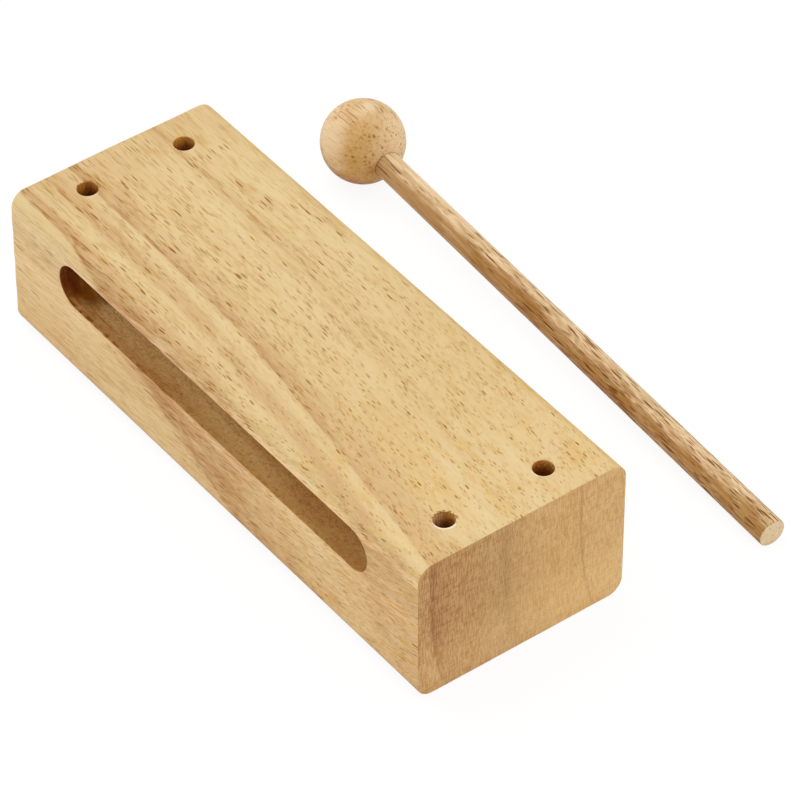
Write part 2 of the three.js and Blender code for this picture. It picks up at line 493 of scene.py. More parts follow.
# Fibre: fine streaks along the grain and broader soft clouds, each about 0.5 on average.
fibre, given, wanted = shared_effect("fibre", {"Place": "Vector"}, ["Streak", "Cloud"])
fine = grain_noise(fibre, given["Place"], (10, 0.35, 0.35), 2.0, 0.6)
long = grain_noise(fibre, given["Place"], (60, 1.3, 1.3), 3.0, 0.6)
feed(fibre, wanted, {
    "Streak": product(fibre, calc(fibre, "ADD", fine, long), 0.5),
    "Cloud": grain_noise(fibre, given["Place"], (22, 6, 6), 3.0, 0.6)})

# End grain: 1 where the surface cuts straight across the grain, and 0 where it runs along it.
end_grain, given, wanted = shared_effect("end_grain", {"Normal": "Vector", "Grain": "Vector"}, ["End"])
end_on = vector_calc(end_grain, "DOT_PRODUCT", given["Normal"], given["Grain"])["Value"]
feed(end_grain, wanted, {"End": fade(end_grain, calc(end_grain, "ABSOLUTE", end_on), 0.45, 0.95)})


def pores(tree, place, length, spacing, size, share):
    """How much of a vessel shows at each place, from vessels of this length, spacing and size."""
    return placed(tree, open_pores, {
        "Place": place, "Length": length, "Spacing": spacing, "Size": size, "Share": share})["Pore"]


def new_wood(name):
    """A wood's material and node tree, and the place and the normal on the object."""
    material = bpy.data.materials.new(name)
    material.use_nodes = True
    texture_place = node(material.node_tree, "TexCoord").outputs
    return material, material.node_tree, texture_place["Object"], texture_place["Normal"]


def finish_wood(piece, material, colour, roughness, height, bump_strength):
    """Feeds colour, roughness and relief into the satin surface of a wood, and puts it on the piece."""
    tree = material.node_tree
    relief = node(tree, "Bump", {"Height": height, "Strength": bump_strength, "Distance": relief_depth})
    feed(tree, tree.nodes["Principled BSDF"], {
        "Base Color": colour, "Roughness": roughness, "Normal": relief.outputs[0],
        "IOR": 1.5, "Specular IOR Level": 0.2})
    piece.data.materials.append(material)


block_wood, tree, object_place, facing = new_wood("block_wood")
place_mm = node(tree, "Mapping", {"Vector": object_place, "Scale": per_metre}).outputs[0]
x, y, z = node(tree, "SeparateXYZ", {0: place_mm}).outputs

# The growth rings swing towards the slot's side on their way to the near end, and bend
# under the block. Their depth in the tree, ring_depth, is y plus that swing less that bend.
# The swing starts softly: half its slope times the sum of the way past its start and the root
# of that way squared plus the softness squared. The bend grows with the cube of the way down.
swing_start = -12.0
swing_softness = 30.0
swing_slope = 0.15
swing_before = 0.39
bend_start = 45.0
bend_rate = 5.9e-5
past_start = calc(tree, "SUBTRACT", x, swing_start)
swing_root = calc(tree, "SQRT", calc(tree, "MULTIPLY_ADD", past_start, past_start, swing_softness ** 2))
swing = calc(tree, "MULTIPLY_ADD", calc(tree, "ADD", swing_root, past_start), swing_slope / 2, -swing_before)
way_down = calc(tree, "MAXIMUM", calc(tree, "SUBTRACT", bend_start, z), 0.0)
bend_under = product(tree, calc(tree, "POWER", way_down, 3.0), bend_rate)
slow_wander = grain_noise(tree, place_mm, (70, 22, 22))
quick_wander = grain_noise(tree, place_mm, (9, 1.6, 1.6), 3.0)
wander = calc(tree, "ADD", calc(tree, "MULTIPLY_ADD", slow_wander, 0.8, -0.3),
              calc(tree, "MULTIPLY_ADD", quick_wander, 0.7, -0.35))
fibre_depth = calc(tree, "ADD", calc(tree, "SUBTRACT", y, bend_under), wander)
ring_depth = calc(tree, "ADD", fibre_depth, swing)
# At the far end the outermost ring turns over the long edge, and the side lies beyond it.
# On the side the rings' edges wander less.
turn_over = product(tree, fade(tree, x, -48.0, -78.0, 0.0, 3.0), fade(tree, y, -27.0, -33.0))
ring_depth = calc(tree, "SUBTRACT", ring_depth, turn_over)
straightened = product(tree, wander, fade(tree, y, -33.5, -34.8, 0.0, 0.75))
ring_depth = calc(tree, "SUBTRACT", ring_depth, straightened)

# The vessels climb towards the near end, more and more steeply, so the top cuts them shorter and
# shorter there. They swing less than the rings do.
climb_slope = 0.12
climb_growth = 0.0005
vessel_swing = 0.6
climb = product(tree, x, calc(tree, "MULTIPLY_ADD", x, climb_growth, climb_slope))
grain_place = node(tree, "CombineXYZ", {
    0: x,
    1: calc(tree, "MULTIPLY_ADD", swing, vessel_swing, fibre_depth),
    2: calc(tree, "SUBTRACT", z, climb)}).outputs[0]

ring_colours = ramp(tree, ring_depth, [
    (-40.0, cream_wood), (-37.5, pale_wood), (-35.0, cream_wood), (-34.82, dark_rosy_wood),
    (-31.0, rosy_wood), (-28.5, cream_wood), (-26.0, pale_wood), (-24.4, cream_wood),
    (-23.0, rosy_wood), (-20.3, rosy_wood), (-18.5, cream_wood), (-16.5, pale_wood),
    (-15.2, cream_wood), (-14.8, dark_rosy_wood), (-12.5, rosy_wood), (-7.0, cream_wood),
    (0.0, cream_wood), (8.0, pale_wood), (12.8, cream_wood), (13.6, rosy_wood),
    (17.0, cream_wood), (25.0, pale_wood), (36.0, cream_wood), (52.0, golden_wood)])
# How crowded the vessels are along the same depth
crowding = ramp(tree, ring_depth, [(depth, (amount, amount, amount, 1)) for depth, amount in [
    (-40.0, 0.1), (-35.1, 0.1), (-34.7, 1.2), (-31.0, 0.8), (-23.5, 0.35), (-23.1, 0.8),
    (-19.0, 0.4), (-15.1, 0.3), (-14.8, 1.0), (-11.0, 0.8), (-3.0, 0.6), (8.0, 0.5),
    (13.4, 0.4), (13.8, 1.0), (18.0, 0.6), (35.4, 0.45), (36.0, 0.8), (52.0, 0.5)]])
streak, cloud = placed(tree, fibre, {"Place": grain_place})
clouds = grain_noise(tree, grain_place, (22, 5, 5), 3.0, 0.6)
crowd = grain_noise(tree, grain_place, (20, 3, 3), 3.0, 0.6)
even_share = fade(tree, slow_wander, 0.35, 0.65, 0.0, 0.3)
late_rings = product(tree, fade(tree, ring_depth, 5.0, 12.0), fade(tree, x, -30.0, 10.0, 0.0, 0.85))
colour = blend(tree, calc(tree, "MAXIMUM", even_share, late_rings), ring_colours, cream_wood)
golden_share = product(tree, fade(tree, x, 0.0, 60.0), fade(tree, crowd, 0.42, 0.66, 0.0, 0.85))
colour = blend(tree, golden_share, colour, golden_wood)
rosy_share = product(tree, fade(tree, x, 60.0, 0.0, 0.25, 1.0), fade(tree, clouds, 0.5, 0.75, 0.0, 0.6))
colour = blend(tree, rosy_share, colour, rosy_wood)
# Two zones of their own colour on the near half, and one across the far end of the top
golden_zone = product(
    tree, fade(tree, ring_depth, -5.0, -1.0), fade(tree, ring_depth, 8.0, 4.0),
    fade(tree, x, 30.0, 44.0, 0.0, 0.55), fade(tree, x, 92.0, 72.0))
colour = blend(tree, golden_zone, colour, golden_wood)
rosy_zone = product(
    tree, fade(tree, ring_depth, -3.0, -7.0), fade(tree, ring_depth, -15.5, -14.5),
    fade(tree, x, 15.0, 60.0, 0.0, 0.5))
colour = blend(tree, rosy_zone, colour, rosy_wood)
far_zone = product(tree, fade(tree, x, -66.0, -92.0, 0.0, 0.35), fade(tree, y, -33.0, -29.0))
colour = blend(tree, far_zone, colour, rosy_wood)
colour = blend(tree, fade(tree, clouds, 0.48, 0.28, 0.0, 0.5), colour, pale_wood)
calm = fade(tree, x, -30.0, 50.0, 1.0, 0.55)
dark_streaks = product(tree, fade(tree, streak, 0.48, 0.72, 0.0, 0.75), calm)
colour = tinted(tree, dark_streaks, colour, fibre_tint)
pale_streaks = product(tree, fade(tree, streak, 0.5, 0.32, 0.0, 0.5), calm)
colour = blend(tree, pale_streaks, colour, pale_wood)
stains = grain_noise(tree, grain_place, (8, 1.2, 1.2))
stain_share = product(
    tree, fade(tree, stains, 0.5, 0.72), fade(tree, x, 20.0, -70.0, 0.7, 1.2), crowding)
colour = tinted(tree, stain_share, colour, stain_tint)

crowd_share = product(
    tree, fade(tree, crowd, 0.38, 0.62, 0.08, 2.3), crowding, fade(tree, y, 5.0, -8.0, 1.0, 1.3))
few_there = product(tree, fade(tree, ring_depth, 9.0, 14.0, 0.0, 0.65), fade(tree, x, -15.0, -50.0))
crowd_share = product(tree, crowd_share, calc(tree, "SUBTRACT", 1.0, few_there))
# Towards the near end there are fewer wide ones and more thin ones
wide_share = product(tree, crowd_share, fade(tree, x, -10.0, 60.0, 1.0, 0.5))
thin_share = product(tree, crowd_share, fade(tree, x, -10.0, 60.0, 1.0, 2.0))
wide_pores = pores(tree, grain_place, 8.5, 0.85, 0.3, wide_share)
thin_pores = pores(tree, grain_place, 7.0, 0.55, 0.32, thin_share)
long_pores = pores(tree, grain_place, 36.0, 0.8, 0.32, fade(tree, crowding, 0.55, 1.0, 0.0, 0.8))
pore_share = calc(tree, "MAXIMUM", wide_pores, product(tree, thin_pores, 0.75))
pore_share = calc(tree, "MAXIMUM", pore_share, product(tree, long_pores, 0.7))
# raw is 1 inside the cuts and 0 on the planed faces, where the patterns are at their full strength
raw = node(tree, "Attribute", attribute_name="raw_cut").outputs["Fac"]
planed = calc(tree, "MULTIPLY_ADD", raw, -0.7, 1.0)
pore_share = product(tree, pore_share, planed)
colour = tinted(tree, pore_share, colour, pore_tint)

# The slot's side was planed against the grain here and there, which left patches and a fine
# short tooth
on_side = fade(tree, y, -33.5, -34.8)
side_patches = grain_noise(tree, grain_place, (14, 3, 3))
patches_share = product(tree, fade(tree, crowding, 0.1, 0.6), on_side)
dark_patches = product(tree, fade(tree, side_patches, 0.52, 0.72, 0.0, 0.4), patches_share)
colour = tinted(tree, dark_patches, colour, stain_tint)
pale_patches = product(tree, fade(tree, side_patches, 0.46, 0.28, 0.0, 0.5), patches_share)
colour = blend(tree, pale_patches, colour, pale_wood)
side_tooth = grain_noise(tree, grain_place, (5, 0.4, 0.4), 3.0, 0.7)
side_tooth = product(tree, fade(tree, side_tooth, 0.45, 0.65, 0.0, 0.65), on_side)
colour = tinted(tree, side_tooth, colour, fibre_tint)

# The side's tone changes with its height, and above the slot it is lighter, a painted highlight.
# Two of the long edges are darker, painted shade: the lower one on the slot's side and the upper
# one at the back
highlight_above_slot = product(
    tree, fade(tree, z, 40.0, 41.5), fade(tree, z, 45.0, 43.0), on_side,
    fade(tree, x, -72.0, -45.0, 0.4, 1.0))
colour = tinted(tree, highlight_above_slot, colour, slot_highlight_tint)
colour = tinted(tree, planed, colour, ramp(tree, z, side_tints))
near_top = product(tree, fade(tree, x, 35.0, 85.0), fade(tree, z, 44.0, 47.0))
colour = tinted(tree, near_top, colour, near_top_tint)
normal_y, normal_z = node(tree, "SeparateXYZ", {0: facing}).outputs[1:]
on_two_edges = product(tree, normal_y, normal_z)
shaded_low_edge = product(tree, fade(tree, on_two_edges, 0.2, 0.42), fade(tree, z, 6.0, 5.0))
colour = tinted(tree, shaded_low_edge, colour, low_edge_shade_tint)
shaded_back_edge = product(tree, fade(tree, on_two_edges, 0.28, 0.48), fade(tree, z, 42.0, 43.0))
colour = tinted(tree, shaded_back_edge, colour, back_edge_shade_tint)

# The sawn ends are darker, most of all where the rings are tight, with a fine upright tooth
end_share = placed(tree, end_grain, {"Normal": facing, "Grain": (1, 0, 0)})["End"]
upright_tooth = grain_noise(tree, place_mm, (3, 0.35, 3.0), 3.0, 0.6)
speckle = grain_noise(tree, place_mm, (0.4, 0.4, 0.5))
end_colour = blend(tree, fade(tree, ring_depth, 4.0, 10.0, 0.75, 0.15), cream_wood, ring_colours)
end_colour = tinted(tree, 1.0, end_colour, ramp(tree, ring_depth, end_tints))
end_colour = tinted(tree, fade(tree, z, 26.0, 3.0), end_colour, low_end_tint)
end_colour = blend(tree, fade(tree, z, 26.0, 3.0, 0.0, 0.4), end_colour, low_end_wood)
tooth_share = product(
    tree, fade(tree, z, 6.0, 40.0, 0.7, 1.0), fade(tree, ring_depth, 20.0, -10.0, 0.6, 1.0))
end_tooth = product(tree, fade(tree, upright_tooth, 0.44, 0.6, 0.0, 0.85), tooth_share)
end_colour = tinted(tree, end_tooth, end_colour, tooth_tint)
end_colour = tinted(tree, fade(tree, speckle, 0.45, 0.7, 0.0, 0.45), end_colour, stain_tint)
end_patches = grain_noise(tree, place_mm, (8, 4, 9))
end_colour = tinted(tree, fade(tree, end_patches, 0.5, 0.7, 0.0, 0.2), end_colour, stain_tint)
saw_marks = grain_noise(tree, place_mm, (3, 5, 0.8))
saw_share = product(tree, fade(tree, saw_marks, 0.45, 0.7, 0.0, 0.6), tooth_share)
end_colour = tinted(tree, saw_share, end_colour, stain_tint)
end_colour = tinted(tree, product(tree, pore_share, 0.35), end_colour, pore_tint)
colour = blend(tree, end_share, colour, end_colour)

# Inside the slot the wood is bare and rough. It is darker near the mouth and lighter deeper in:
# painted shade and painted light that even out the slot's shading. The far end, where the cutter
# stopped, is dark brown, further along the deeper in: the end grain's own darker colour with
# painted shade. The cutter singed the lip in places.
dark_end_slant = -0.9
dark_end_slant_stop = -23.0
bare_tint = blend(tree, fade(tree, y, -34.0, -28.0), mouth_shade_tint, bare_wood_and_light_tint)
bare_tint = blend(tree, fade(tree, speckle, 0.45, 0.65, 0.0, 0.55), bare_tint, raw_speck_tint)
rough_cut = grain_noise(tree, place_mm, (1.3, 0.9, 0.9), 3.0, 0.8)
bare_tint = tinted(tree, fade(tree, rough_cut, 0.5, 0.68, 0.0, 0.9), bare_tint, raw_speck_tint)
bare_tint = tinted(tree, 1.0, bare_tint, ramp(tree, x, slot_tints))
wandering_x = calc(tree, "MULTIPLY_ADD", quick_wander, 7.0, x)
depth_in = calc(tree, "MINIMUM", y, dark_end_slant_stop)
dark_end_reach = calc(tree, "MULTIPLY_ADD", depth_in, dark_end_slant, wandering_x)
patchy = grain_noise(tree, place_mm, (3, 2, 1.2), 3.0)
dark_end_share = product(
    tree, fade(tree, dark_end_reach, -28.0, -36.0), fade(tree, patchy, 0.3, 0.6, 0.75, 1.0))
bare_tint = blend(tree, dark_end_share, bare_tint, scorch_and_shade_tint)
singed_lip = product(
    tree, fade(tree, y, -32.8, -34.4), fade(tree, patchy, 0.5, 0.6),
    fade(tree, wandering_x, -10.0, -56.0, 0.25, 1.0))
bare_tint = blend(tree, singed_lip, bare_tint, scorch_and_shade_tint)
# Darker still at the far end, painted shade, and on the lip beside it
dark_far_lip = product(tree, fade(tree, y, -33.0, -34.5, 0.0, 0.8), fade(tree, wandering_x, -48.0, -58.0))
shaded_far_end = product(tree, fade(tree, y, -26.0, -33.0, 0.0, 0.9), fade(tree, x, -66.0, -69.0))
dark_far_lip_and_end = calc(tree, "MAXIMUM", dark_far_lip, shaded_far_end)
bare_tint = tinted(tree, dark_far_lip_and_end, bare_tint, far_end_dark_tint)

# Deep in, the holes' walls are darker, painted shade, and one side of each is paler, painted light.
# hole_x and hole_y are the place from the axis of the nearest hole, to within 0.3 mm.
beyond_slot = 74.0
from_middle = calc(tree, "SUBTRACT", x, slot_centre[0] / mm)
drilled = calc(tree, "GREATER_THAN", calc(tree, "ABSOLUTE", from_middle), beyond_slot)
drill_marks = grain_noise(tree, place_mm, (0.7, 0.7, 0.9), 3.0, 0.7)
below_mouth = calc(tree, "MINIMUM", z, calc(tree, "SUBTRACT", block_height / mm, z))
below_mouth = calc(tree, "MULTIPLY_ADD", drill_marks, 10.0, calc(tree, "SUBTRACT", below_mouth, 5.0))
hole_x = calc(tree, "MULTIPLY_ADD", y, -math.sin(hole_turn), x)
hole_x = calc(tree, "SUBTRACT", hole_x, product(tree, calc(tree, "SIGN", x), hole_reach[0] / mm))
hole_y = calc(tree, "SUBTRACT", calc(tree, "MULTIPLY_ADD", x, -math.sin(hole_turn), y), hole_drift / mm)
hole_y = calc(tree, "SUBTRACT", hole_y, product(tree, calc(tree, "SIGN", y), hole_reach[1] / mm))
# Painted light on one side of each hole's wall
lit_wall_share = product(tree, fade(tree, x, -10.0, 10.0), fade(tree, y, 5.0, -5.0))
lit_wall_share = calc(tree, "MAXIMUM", lit_wall_share, fade(tree, x, -10.0, 10.0, 0.8, 0.0))
lit_wall_share = product(tree, lit_wall_share, fade(tree, calc(tree, "ADD", hole_x, hole_y), 0.8, -2.8))
below_mouth = calc(tree, "MULTIPLY_ADD", lit_wall_share, -3.0, below_mouth)
lit_wall_mix = blend(tree, fade(tree, x, -10.0, 10.0), far_lit_tint, near_lit_tint)
drill_tint = blend(tree, lit_wall_share, drilled_tint, lit_wall_mix)
# Painted shade deeper in the holes
drill_tint = blend(tree, fade(tree, below_mouth, -0.5, 4.5), drill_tint, deep_shade_and_speck_tint)
bare_tint = blend(tree, drilled, bare_tint, drill_tint)
colour = tinted(tree, raw, colour, bare_tint)

# Each hole has a painted highlight on its rim towards the near end, and dark specks across from it
rim_highlight_towards = (0.8, -0.6)
from_hole = calc(tree, "MULTIPLY_ADD", hole_x, hole_x, product(tree, hole_y, hole_y))
from_hole = calc(tree, "SQRT", from_hole)
near_side = calc(tree, "MULTIPLY_ADD", hole_x, rim_highlight_towards[0], product(tree, hole_y, rim_highlight_towards[1]))
ragged = calc(tree, "MULTIPLY_ADD", drill_marks, 0.8, from_hole)
rim_highlight = product(
    tree, fade(tree, ragged, 4.15, 3.85), fade(tree, near_side, 0.8, 2.2), fade(tree, raw, 0.98, 0.7),
    fade(tree, x, -50.0, 50.0, 0.25, 1.0))
colour = blend(tree, rim_highlight, colour, rim_highlight_wood)
specks = grain_noise(tree, place_mm, (0.7, 0.7, 0.7), 1.0)
torn_specks = product(
    tree, fade(tree, from_hole, 3.95, 3.65), fade(tree, near_side, 0.0, -1.5),
    fade(tree, specks, 0.5, 0.57), fade(tree, y, 0.0, -10.0, 0.2, 1.0), fade(tree, z, 47.0, 47.5))
colour = blend(tree, torn_specks, colour, deep_shade_and_speck_tint)

roughness = calc(tree, "MULTIPLY_ADD", cloud, 0.14, 0.5)
dull_share = product(tree, calc(tree, "MAXIMUM", raw, pore_share), 0.85)
height = calc(tree, "SUBTRACT", product(tree, streak, 0.5), pore_share)
finish_wood(block, block_wood, colour, calc(tree, "MAXIMUM", roughness, dull_share), height, 0.2)

# The beater's ball.
# It is turned from the same pale wood with the grain nearly along its bore, and sanded smooth.
ball_low, ball_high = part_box("beater_head")
ball_radius = (ball_high.z - ball_low.z) / 2
ball_centre = np.array([
    ball_low.x + ball_radius, (ball_low.y + ball_high.y) / 2, ball_low.z + ball_radius])
stick_low, stick_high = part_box("beater_stick")
stick_hand_radius = 4.35 * mm
stick_head_radius = 4.1 * mm
bore_radius = 4.13 * mm
bore_bottom = -0.2 * mm
bore_rim = 0.15 * mm
bore_rows = 7
ball_sides = 96
ball_rows = 60
beater_axis = np.array([
    stick_high.x, stick_low.y + stick_hand_radius, stick_low.z + stick_hand_radius]) - ball_centre
beater_axis /= np.linalg.norm(beater_axis)
beater_side = np.cross(beater_axis, [0, 0, 1])
beater_side /= np.linalg.norm(beater_side)
beater_top = np.cross(beater_side, beater_axis)


def turned_piece(name, profile, sides):
    """A closed piece: a profile of (reach along the beater's axis, radius) swept once round it."""
    angle = np.linspace(0, 2 * math.pi, sides, endpoint=False)
    spoke = np.cos(angle)[:, None] * beater_side + np.sin(angle)[:, None] * beater_top
    reach, radius = profile[:, 0, None, None], profile[:, 1, None, None]
    quilt = Quilt()
    quilt.add(ball_centre + reach * beater_axis + radius * spoke, wrap=True)
    return quilt.sew(name, sharp_angle)


mouth_radius = bore_radius + bore_rim
mouth_angle = math.asin(mouth_radius / ball_radius)
mouth_reach = ball_radius * math.cos(mouth_angle)
polar = np.linspace(math.pi, mouth_angle, ball_rows)
round_ball = np.stack([ball_radius * np.cos(polar), ball_radius * np.sin(polar)], axis=1)
round_ball[0, 1] = 0.0
bend = np.linspace(0, math.pi / 2, rim_steps + 1)
round_mouth = np.stack([
    mouth_reach - bore_rim * (1 - np.cos(bend)), mouth_radius - bore_rim * np.sin(bend)], axis=1)
wall_reach = np.linspace(mouth_reach - bore_rim, bore_bottom, bore_rows + 1)[1:]
bore_wall = np.stack([wall_reach, np.full(bore_rows, bore_radius)], axis=1)
bore_floor = np.array([[bore_bottom, bore_radius / 2], [bore_bottom, 0.0]])
ball = turned_piece(
    "beater_ball", np.concatenate([round_ball, round_mouth[1:], bore_wall, bore_floor]), ball_sides)
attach(ball, "beater")
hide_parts("beater_head")

pale_ball_wood = (0.86, 0.6, 0.32, 1)
tan_ball_wood = (0.78, 0.52, 0.25, 1)
brown_ball_wood = (0.5, 0.24, 0.05, 1)
ochre_ball_wood = (0.68, 0.41, 0.13, 1)
creamy_ball_wood = (0.92, 0.715, 0.445, 1)
pinkish_ball_wood = (0.98, 0.71, 0.4, 1)
ball_fibre_tint = (0.78, 0.63, 0.45, 1)
ball_pore_tint = (0.48, 0.3, 0.15, 1)
# Painted shade for the ball's underside
under_ball_shade_tint = (0.9, 0.76, 0.52, 1)
ball_grain = Vector((0.996, 0.0, 0.069)).normalized()
lines_across = Vector((0.025, -0.928, -0.366))


def across_grain(direction, grain):
    """The part of a direction that is square to the grain, one unit long."""
    return (direction - grain * direction.dot(grain)).normalized()


def grain_frame(tree, object_place, grain, rings):
    """The place from the ball's centre, in millimetres: along the grain, across the rings and
    along the rings."""
    turn = Matrix((grain, rings, grain.cross(rings)))
    return node(tree, "Mapping", {
        "Vector": object_place, "Scale": per_metre, "Rotation": turn.to_euler(),
        "Location": -(turn @ Vector(ball_centre)) / mm}).outputs[0]


ball_rings = across_grain(Vector((-0.542, 0.41, 0.734)), ball_grain)
ball_wood, tree, object_place, facing = new_wood("ball_wood")
grain_place = grain_frame(tree, object_place, ball_grain, ball_rings)
ring_depth = node(tree, "SeparateXYZ", {0: grain_place}).outputs[1]
wander = grain_noise(tree, grain_place, (20, 7, 7), 3.0)
ring_depth = calc(tree, "ADD", ring_depth, calc(tree, "MULTIPLY_ADD", wander, 6.0, -3.0))
colour = ramp(tree, ring_depth, [
    (-12.5, brown_ball_wood), (-9.6, brown_ball_wood), (-7.6, ochre_ball_wood), (-3.0, tan_ball_wood),
    (1.0, pale_ball_wood), (7.0, pale_ball_wood), (11.0, tan_ball_wood)])

# Patches have colours of their own, and so have the places with dots or lines. Each is round a
# spot given in millimetres from the ball's centre, with a wandering edge. The brown patch beside
# the stick's joint is painted shade.
ball_place = node(tree, "Mapping", {
    "Vector": object_place, "Scale": per_metre, "Location": -Vector(ball_centre) / mm}).outputs[0]
edge_wander = calc(tree, "MULTIPLY_ADD", wander, 7.0, -3.5)


def near_spot(spot, far, near, share, elsewhere=0.0):
    """A share that holds up to the near distance from a spot and fades to another by the far one."""
    away = calc(tree, "ADD", vector_calc(tree, "DISTANCE", ball_place, spot)["Value"], edge_wander)
    return fade(tree, away, far, near, elsewhere, share)


creamy_spot = (-0.6, -11.2, 6.0)
for spot, far, near, share, patch_wood in [
        ((9.3, 6.6, 5.8), 10.0, 3.0, 0.9, pinkish_ball_wood),
        ((2.4, -12.5, 1.3), 7.0, 2.5, 0.7, creamy_ball_wood),
        (creamy_spot, 8.0, 3.0, 1.0, creamy_ball_wood),
        ((0.4, 0.9, 12.7), 5.0, 1.5, 0.9, creamy_ball_wood),
        # painted shade beside the stick's joint
        ((11.6, -5.2, -1.4), 4.2, 1.0, 0.75, brown_ball_wood),
        ((6.6, -5.0, 9.7), 7.5, 2.0, 0.75, ochre_ball_wood),
        ((8.6, -8.9, 3.4), 7.5, 2.0, 0.75, ochre_ball_wood)]:
    colour = blend(tree, near_spot(spot, far, near, share), colour, patch_wood)
# The underside is darker: painted shade
facing_up = node(tree, "SeparateXYZ", {0: facing}).outputs[2]
colour = tinted(tree, fade(tree, facing_up, -0.2, -0.55), colour, under_ball_shade_tint)
streak = placed(tree, fibre, {"Place": grain_place})["Streak"]
colour = tinted(tree, fade(tree, streak, 0.46, 0.68, 0.0, 0.8), colour, ball_fibre_tint)
colour = blend(tree, fade(tree, streak, 0.5, 0.32, 0.0, 0.3), colour, pale_ball_wood)
dotted_share = calc(
    tree, "MAXIMUM", near_spot((7.6, -2.0, 10.0), 12.0, 7.0, 1.0, 0.2),
    near_spot((6.9, -10.7, 1.4), 6.0, 3.0, 0.0, 1.0))
dotted_share = product(tree, dotted_share, near_spot(creamy_spot, 8.0, 4.0, 0.1, 1.0))
wide_pores = pores(tree, grain_place, 7.0, 1.25, 0.36, dotted_share)
thin_pores = pores(tree, grain_place, 5.0, 0.85, 0.31, dotted_share)
lines_place = grain_frame(tree, object_place, ball_grain, lines_across)
long_lines = fade(tree, grain_noise(tree, lines_place, (16, 0.5, 9), 1.0), 0.56, 0.62)
long_lines = product(tree, long_lines, near_spot((-1.1, -4.7, 11.85), 4.2, 3.0, 0.5))
pore_share = calc(tree, "MAXIMUM", product(tree, wide_pores, 0.75), product(tree, thin_pores, 0.55))
pore_share = calc(tree, "MAXIMUM", pore_share, long_lines)
colour = tinted(tree, pore_share, colour, ball_pore_tint)
roughness = calc(tree, "MULTIPLY_ADD", pore_share, 0.4, 0.42)
height = calc(tree, "SUBTRACT", product(tree, streak, 0.4), pore_share)
finish_wood(ball, ball_wood, colour, roughness, height, 0.3)

# The beater's stick.
# It is a dowel, sanded a little thinner towards the ball, glued into the bore, its free end eased.
stick_reach = 194 * mm
stick_seat = 0.1 * mm
stick_end = 0.6 * mm
stick_sides = 64
shaft_reach = stations([stick_seat + stick_end, ball_radius, stick_reach - stick_end], panel_spacing)
shaft_share = np.clip((shaft_reach - ball_radius) / (stick_reach - ball_radius), 0, 1)
shaft_radius = stick_head_radius + (stick_hand_radius - stick_head_radius) * shaft_share
inset_along, inset_across = stick_end * (1 - np.sin(bend)), stick_end * (1 - np.cos(bend))
head_end = np.stack([stick_seat + inset_along, stick_head_radius - inset_across], axis=1)[::-1]
hand_end = np.stack([stick_reach - inset_along, stick_hand_radius - inset_across], axis=1)
stick = turned_piece("beater_dowel", np.concatenate([
    [[stick_seat, 0.0], [stick_seat, stick_head_radius / 2]],
    head_end[:-1],
    np.stack([shaft_reach, shaft_radius], axis=1),
    hand_end[1:],
    [[stick_reach, stick_hand_radius / 2], [stick_reach, 0.0]],
]), stick_sides)
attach(stick, "beater")
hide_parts("beater_stick")

pale_stick_wood = (0.955, 0.73, 0.44, 1)
yellow_stick_wood = (0.8, 0.57, 0.26, 1)
pink_stick_wood = (0.64, 0.4, 0.19, 1)
brown_stick_wood = (0.43, 0.215, 0.048, 1)
stick_fibre_tint = (0.7, 0.53, 0.35, 1)
streak_tint = (0.36, 0.2, 0.09, 1)
sawn_end_wood = (0.95, 0.735, 0.46, 1)
stick_grain = Vector(beater_axis)
stick_rings = across_grain(Vector((0, -0.545, 0.838)), stick_grain)
# Painted light and shade: the stick is paler towards this side and browner away from it
lit_side = (0, 0.6, 0.8)

stick_wood, tree, object_place, facing = new_wood("stick_wood")
grain_place = grain_frame(tree, object_place, stick_grain, stick_rings)
reach, depth = node(tree, "SeparateXYZ", {0: grain_place}).outputs[:2]
wander = grain_noise(tree, grain_place, (12, 2.5, 2.5), 4.0, 0.6)
ring_depth = calc(tree, "ADD", calc(tree, "MULTIPLY_ADD", reach, 0.35, depth),
                  calc(tree, "MULTIPLY_ADD", wander, 7.0, -3.5))
colour = ramp(tree, ring_depth, [
    (-5.0, pale_stick_wood), (12.0, pale_stick_wood), (18.8, pink_stick_wood), (19.6, pale_stick_wood),
    (25.5, brown_stick_wood), (26.6, pale_stick_wood), (35.0, brown_stick_wood), (36.4, pale_stick_wood),
    (44.0, pink_stick_wood), (50.3, brown_stick_wood), (51.5, pale_stick_wood), (61.5, pink_stick_wood),
    (62.7, pale_stick_wood), (65.7, pink_stick_wood), (66.7, yellow_stick_wood),
    (80.0, yellow_stick_wood)])
# Paler on the upper side and browner underneath: painted light and painted shade
towards_lit_side = vector_calc(tree, "DOT_PRODUCT", facing, lit_side)["Value"]
towards_lit_side = calc(tree, "ADD", towards_lit_side, calc(tree, "MULTIPLY_ADD", wander, 2.0, -1.0))
colour = blend(tree, fade(tree, towards_lit_side, 0.9, 0.1, 0.2, 0.9), pale_stick_wood, colour)
colour = blend(tree, fade(tree, towards_lit_side, 1.0, 0.15, 0.0, 0.7), colour, brown_stick_wood)
streak = placed(tree, fibre, {"Place": grain_place})["Streak"]
tooth = grain_noise(tree, grain_place, (4, 0.4, 0.4), 3.0, 0.7)
streaks = fade(tree, streak, 0.46, 0.7, 0.0, 0.8)
colour = tinted(tree, streaks, colour, stick_fibre_tint)
tooth_share = product(tree, fade(tree, tooth, 0.46, 0.64), fade(tree, reach, 40.0, 70.0, 0.35, 0.9))
colour = tinted(tree, tooth_share, colour, stick_fibre_tint)
clusters = product(
    tree, fade(tree, grain_noise(tree, grain_place, (9, 1.1, 1.1), 3.0), 0.48, 0.59),
    fade(tree, towards_lit_side, 0.75, 0.1, 0.0, 0.85), fade(tree, reach, 45.0, 60.0))
colour = blend(tree, clusters, colour, brown_stick_wood)
colour = blend(tree, fade(tree, streak, 0.5, 0.32, 0.0, 0.4), colour, pale_stick_wood)
